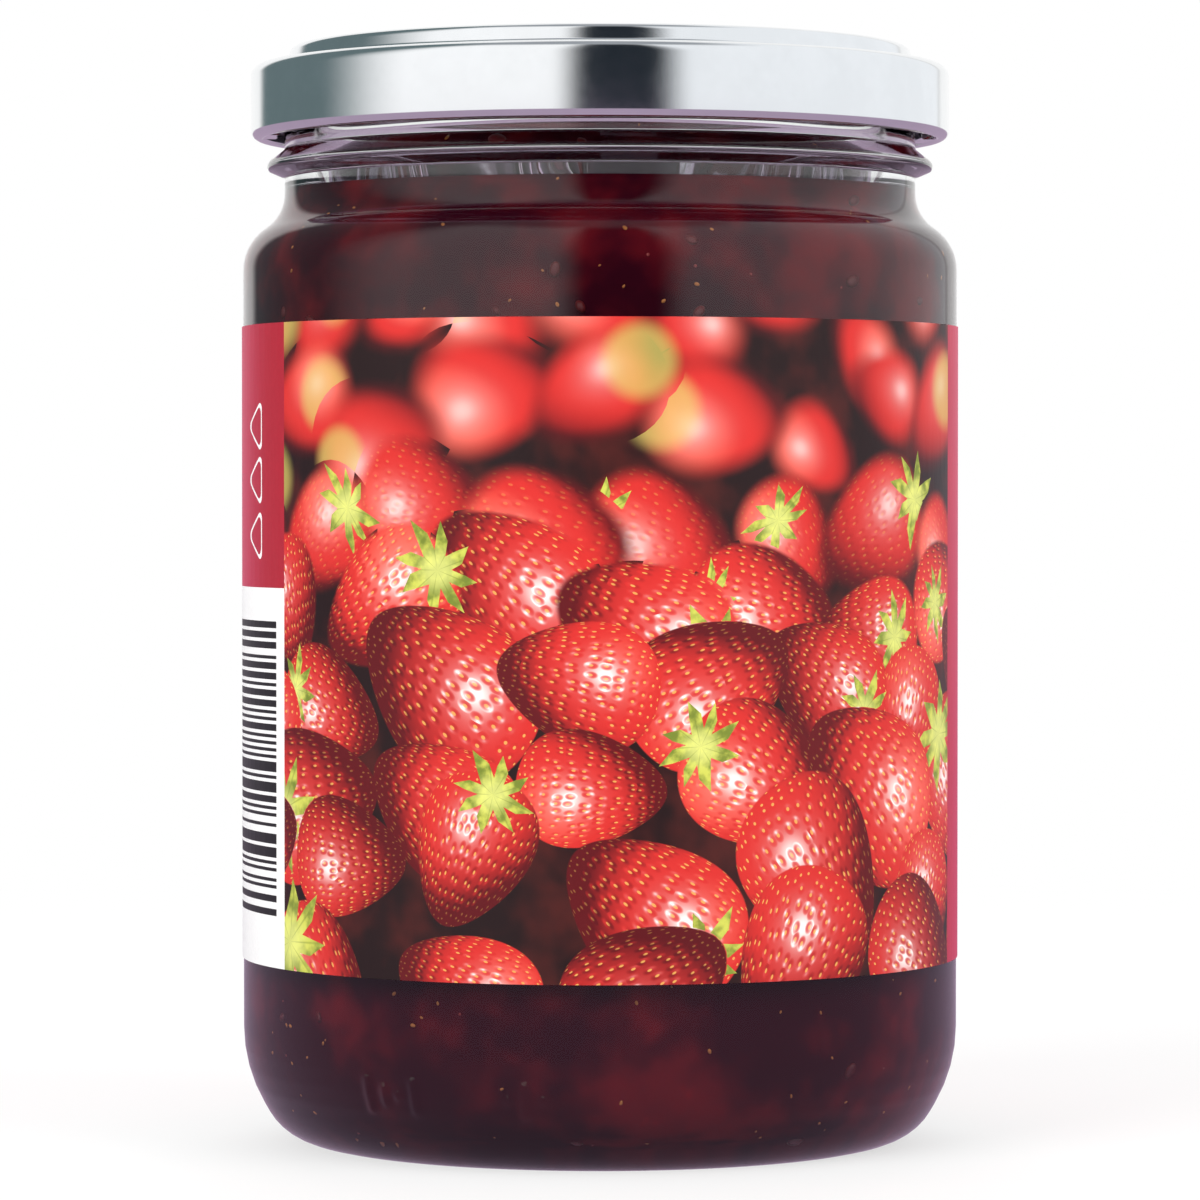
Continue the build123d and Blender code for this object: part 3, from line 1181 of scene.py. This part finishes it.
    def wrap(self, points: list, kept: list, layers: list, motifs: list[Motif]) -> None:
        """Wrap the cut label round the jar as a closed sheet with its attributes.

        Args:
            points: The cut's points.
            kept: Its triangles, each with its middle.
            layers: What shows at each triangle.
            motifs: The picture's shapes.
        """
        outer, inner = self.radius * MM, (self.radius - self.paper) * MM
        places: dict[tuple[int, int], int] = {}
        vertices: list[tuple[float, float, float]] = []

        def vertex(u: float, v: float, reach: float, side: int) -> int:
            turn = u / self.radius - pi / 2
            key = (round((turn % (2 * pi)) * 1e6) % round(2 * pi * 1e6), round(v * 1e4), side)
            if key not in places:
                places[key] = len(vertices)
                vertices.append((reach * cos(turn), reach * sin(turn), (self.low + v) * MM))
            return places[key]

        faces, inks, rows = [], [], []
        for (face, _, _), layer in zip(kept, layers):
            corners = [vertex(points[i].x, points[i].y, outer, 0) for i in face]
            if len(set(corners)) == 3:
                faces.append(corners)
                inks.append(layer[0].value)
                rows.append((face, layer))
        tall = self.high - self.low
        for v in (0.0, tall):
            ring = sorted({round(points[i].x, 6) for face, _, _ in kept for i in face
                           if abs(points[i].y - v) < 1e-5})
            for a, b in zip(ring, ring[1:]):
                faces.append([vertex(a, v, outer, 0), vertex(b, v, outer, 0),
                              vertex(b, v, inner, 1), vertex(a, v, inner, 1)])
                inks.append(Ink.WHITE.value)
            if v == 0.0:
                lower = ring
        upper = ring
        i = j = 0
        while i < len(lower) - 1 or j < len(upper) - 1:
            if j == len(upper) - 1 or (i < len(lower) - 1 and lower[i + 1] <= upper[j + 1]):
                faces.append([vertex(lower[i], 0.0, inner, 1), vertex(lower[i + 1], 0.0, inner, 1),
                              vertex(upper[j], tall, inner, 1)])
                i += 1
            else:
                faces.append([vertex(lower[i], 0.0, inner, 1), vertex(upper[j + 1], tall, inner, 1),
                              vertex(upper[j], tall, inner, 1)])
                j += 1
            inks.append(Ink.WHITE.value)
        mesh = bpy.data.meshes.new("label_sheet")
        mesh.from_pydata(vertices, [], faces)
        mesh.polygons.foreach_set("material_index", inks)
        self.store(mesh, points, rows, motifs)
        piece = bpy.data.objects.new("label_sheet", mesh)
        bpy.context.collection.objects.link(piece)
        # The second colour of each paper finish is painted side light: a pink sheen on the crimson, a little
        # shade on the bare paper.
        for finish in (PictureFinish(), PaperFinish("crimson_ink", (0.40, 0.012, 0.028), (0.62, 0.014, 0.10)),
                       PaperFinish("bare_paper", (0.90, 0.90, 0.89), (0.86, 0.86, 0.86)),
                       PaperFinish("black_ink", (0.012, 0.012, 0.012), (0.012, 0.012, 0.012))):
            mesh.materials.append(finish.make())
        face_outwards(piece)
        fit_to_frame(piece, "label")
        self.lap(mesh.materials[Ink.CRIMSON.value])

    def lap(self, ink: bpy.types.Material) -> None:
        """The end of the paper, lapped over its start at the back.

        Args:
            ink: The material of the panel that the end belongs to.
        """
        steps, sweep = 10, self.overlap / self.radius
        section = ((self.radius - 0.03, self.low), (self.radius + self.paper, self.low),
                   (self.radius + self.paper, self.high), (self.radius - 0.03, self.high))
        turns = [pi / 2 + sweep * k / steps for k in range(steps + 1)]
        vertices = [(r * MM * cos(a), r * MM * sin(a), z * MM) for a in turns for r, z in section]
        faces = [(4 * k + i, 4 * k + (i + 1) % 4, 4 * k + 4 + (i + 1) % 4, 4 * k + 4 + i)
                 for k in range(steps) for i in range(4)]
        faces += [(0, 1, 2, 3), tuple(4 * steps + i for i in range(4))]
        mesh = bpy.data.meshes.new("label_lap")
        mesh.from_pydata(vertices, [], faces)
        mesh.materials.append(ink)
        piece = bpy.data.objects.new("label_lap", mesh)
        bpy.context.collection.objects.link(piece)
        face_outwards(piece)
        fit_to_frame(piece, None)

    @staticmethod
    def store(mesh: bpy.types.Mesh, points: list, rows: list, motifs: list[Motif]) -> None:
        """Write each corner's place on its fruits and crown, and their traits.

        Args:
            mesh: The label's mesh.
            points: The cut's points.
            rows: The printed triangles and what shows at each.
            motifs: The picture's shapes.
        """
        loops = len(mesh.loops)
        for slot, which in ((1, "upper"), (2, "lower"), (3, "crown")):
            places, traits = [0.0] * (3 * loops), [0.0] * (3 * loops)
            for index, (face, layer) in enumerate(rows):
                if layer[slot] is None:
                    continue
                motif = motifs[layer[slot]]
                for corner, point in enumerate(face):
                    x, y = motif.local(points[point].x, points[point].y)
                    at = 3 * (3 * index + corner)
                    places[at:at + 3] = (x, y, motif.seed)
                    traits[at:at + 3] = (motif.soft, motif.bright, 1.0)
            for name, values in ((f"{which}_place", places), (f"{which}_traits", traits)):
                layer_data = mesh.attributes.new(name, "FLOAT_VECTOR", "CORNER")
                layer_data.data.foreach_set("vector", values)


def within(u: float, v: float, outline: list[Point]) -> bool:
    """Whether a point lies inside an outline.

    Args:
        u: Way round the label.
        v: Height on the label.
        outline: Corners of the closed outline.

    Returns:
        True inside.
    """
    inside = False
    previous = outline[-1]
    for corner in outline:
        if (corner[1] > v) != (previous[1] > v):
            cross = corner[0] + (v - corner[1]) * (previous[0] - corner[0]) / (previous[1] - corner[1])
            inside ^= u < cross
        previous = corner
    return inside


@dataclass
class Studio:
    """Pale floor, soft lamps, a sky that glossy things mirror, and the camera."""

    height: float
    distance: float = 0.544
    eye: float = 0.0637
    dip: float = 1.09
    lens: float = 164.5
    # Painted reflection: the mauve glow that glossy rays see on the floor in place of its pale colour.
    painted_floor_reflection: Colour = (0.42, 0.32, 0.44)

    def floor(self) -> None:
        """A wide pale floor that keeps the jar's soft shadow and glows a painted mauve reflection for glossy
        rays.
        """
        mesh = bpy.data.meshes.new("floor")
        mesh.from_pydata([(-6, -6, 0), (6, -6, 0), (6, 6, 0), (-6, 6, 0)], [], [(0, 1, 2, 3)])
        floor = bpy.data.objects.new("floor", mesh)
        bpy.context.collection.objects.link(floor)
        made, graph, shader = new_material("pale_floor")
        graph.put(shader.inputs["Base Color"], (0.93, 0.93, 0.93))
        shader.inputs["Roughness"].default_value = 0.9
        shader.inputs["Specular IOR Level"].default_value = 0.0
        glow = graph.node("ShaderNodeEmission", {"Color": (1.0, 1.0, 1.0), "Strength": 1.0}).outputs[0]
        path = graph.node("ShaderNodeLightPath").outputs
        seen = graph.math("MAXIMUM", path["Is Camera Ray"], path["Is Transmission Ray"])
        where = graph.node("ShaderNodeTexCoord").outputs["Object"]
        away = graph.ease(graph.vec("LENGTH", where), 0.05, 0.35, 0.6, 1.0)
        share = graph.mul(seen, away)
        both = graph.node("ShaderNodeMixShader", {0: share, 1: shader.outputs[0], 2: glow})
        # Painted reflection: glossy rays see the floor as a mauve glow instead of its pale colour.
        painted_reflection_glow = graph.node("ShaderNodeEmission", {"Color": self.painted_floor_reflection, "Strength": 1.0}).outputs[0]
        whole = graph.node("ShaderNodeMixShader", {0: path["Is Glossy Ray"], 1: both.outputs[0], 2: painted_reflection_glow})
        graph.put(made.node_tree.nodes["Material Output"].inputs["Surface"], whole.outputs[0])
        mesh.materials.append(made)

    def sky(self) -> None:
        """White for the eye; soft boxes and dark walls for what mirrors; plain light for the rest."""
        world = bpy.data.worlds.new("studio")
        bpy.context.scene.world = world
        world.use_nodes = True
        graph = Graph(world.node_tree)
        way = graph.node("ShaderNodeTexCoord").outputs["Generated"]
        x, y, z = graph.split(way)
        turn = graph.mul(graph.math("ARCTAN2", x, graph.mul(y, -1.0)), 180 / pi)
        rise = graph.mul(graph.math("ARCSINE", z), 180 / pi)
        tone: Socket | tuple = (0.016, 0.022, 0.030)
        zones = (
            (-150.0, -70.0, 5.0, 5.0, (0.13, 0.18, 0.19)),
            (-84.0, -10.0, 20.0, 6.0, (1.08, 1.08, 1.09)),
            (24.0, 148.0, 7.0, 2.0, (0.95, 0.97, 1.0)),
        )
        for left, right, blur_in, blur_out, colour in zones:
            enter = graph.ease(turn, left - blur_in, left + blur_in)
            leave = graph.ease(turn, right + blur_out, right - blur_out)
            tone = graph.mix(graph.mul(enter, leave), tone, colour)
        behind = graph.ease(graph.math("ABSOLUTE", turn), 144.0, 152.0)
        tone = graph.mix(behind, tone, (1.0, 1.0, 1.0))
        tone = graph.mix(graph.ease(rise, 60.0, 75.0), tone, (0.35, 0.37, 0.40))
        path = graph.node("ShaderNodeLightPath").outputs
        seen = graph.math("MAXIMUM", path["Is Camera Ray"], path["Is Transmission Ray"])
        tone = graph.mix(path["Is Glossy Ray"], (0.62, 0.62, 0.62), tone)
        tone = graph.mix(seen, tone, (1.0, 1.0, 1.0))
        graph.put(world.node_tree.nodes["Background"].inputs[0], tone)

    def lamp(self, name: str, place: tuple[float, float, float], size: float, watts: float) -> None:
        """One soft lamp aimed at the jar's middle, unseen in reflections.

        Args:
            name: The lamp's name.
            place: Where it stands, in metres.
            size: Width of its square.
            watts: Its power.
        """
        data = bpy.data.lights.new(name, "AREA")
        data.shape = "SQUARE"
        data.size = size
        data.energy = watts
        made = bpy.data.objects.new(name, data)
        made.location = place
        aim = Vector((0, 0, self.height / 2)) - Vector(place)
        made.rotation_euler = aim.to_track_quat("-Z", "Y").to_euler()
        made.visible_glossy = False
        made.visible_transmission = False
        made.visible_camera = False
        bpy.context.collection.objects.link(made)

    def camera(self) -> None:
        """A long lens a little above the jar's middle."""
        data = bpy.data.cameras.new("camera")
        data.lens = self.lens
        data.sensor_width = 36.0
        data.clip_start = 0.01
        made = bpy.data.objects.new("camera", data)
        made.location = (0.0, -self.distance, self.eye)
        made.rotation_euler = (radians(90.0 - self.dip), 0.0, 0.0)
        bpy.context.collection.objects.link(made)
        bpy.context.scene.camera = made

    def make(self) -> None:
        """Set the stage."""
        self.floor()
        self.sky()
        self.lamp("lamp_left", (-0.55, -0.6, 0.5), 0.5, 5.0)
        self.lamp("lamp_right", (0.7, -0.45, 0.4), 0.6, 4.0)
        self.lamp("lamp_back", (0.0, 0.7, 0.7), 0.6, 3.0)
        self.camera()
        bpy.context.scene.view_settings.view_transform = "Standard"


def main() -> None:
    """Build the jar's pieces round the frame, then the studio."""
    logging.basicConfig(level=logging.INFO, format="%(message)s")
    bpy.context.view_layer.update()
    glass_low, glass_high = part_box("glass_jar")
    _, jam_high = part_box("jam")
    lid_low, lid_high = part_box("lid")
    label_low, label_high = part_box("label")
    jar = GlassJar(body_r=glass_high[0] / MM, rim_z=glass_high[2] / MM)
    jar.make()
    Filling(jar, jam_high[2] / MM).make()
    TwistLid(lid_high[2] / MM, lid_low[2] / MM, lid_high[0] / MM, jar.rim_z).make()
    WrapLabel(label_high[0] / MM, label_low[2] / MM, label_high[2] / MM).make()
    Studio(lid_high[2]).make()


if __name__ == "__main__":
    main()
